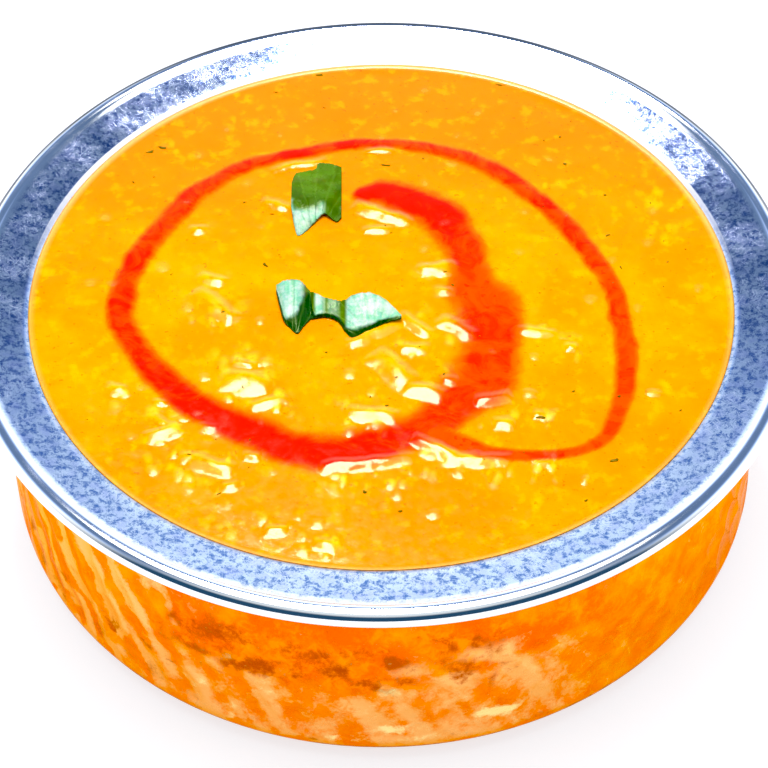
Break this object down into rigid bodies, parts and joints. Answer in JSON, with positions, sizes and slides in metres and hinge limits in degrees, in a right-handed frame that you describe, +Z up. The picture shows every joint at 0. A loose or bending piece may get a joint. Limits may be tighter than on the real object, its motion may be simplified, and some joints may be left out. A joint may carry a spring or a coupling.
{
  "type": "bowl of dal",
  "caption": "Thick orange dal with a spiral of red chilli oil and torn coriander leaves, in a round hammered copper serving bowl with a steel lining and rolled rim.",
  "frame": {"origin": "centre of the bowl's flat base, on the surface it stands on", "axes": "+Z up along the bowl's axis; -Y towards the side seen from the front, with the hooked end of the oil spiral; +X to the right of that view"},
  "size_m": [0.15, 0.15, 0.0492],
  "materials": {
    "steel": "polished stainless steel with fine use scratches, bluish where it mirrors the room",
    "copper": "bright hammered copper, glossy, orange to golden, with round hammer marks in staggered rows",
    "dal": "wet cooked lentils, orange-yellow, with a soft-edged red chilli oil spiral and small glossy lumps",
    "coriander": "fresh wet leaf, dark to bright green with pale reflections"
  },
  "bodies": {
    "root": {"steel_liner": "steel", "copper_jacket": "copper", "dal": "dal", "coriander_leaf_back": "coriander", "coriander_leaf_front": "coriander"}
  },
  "joints": []
}
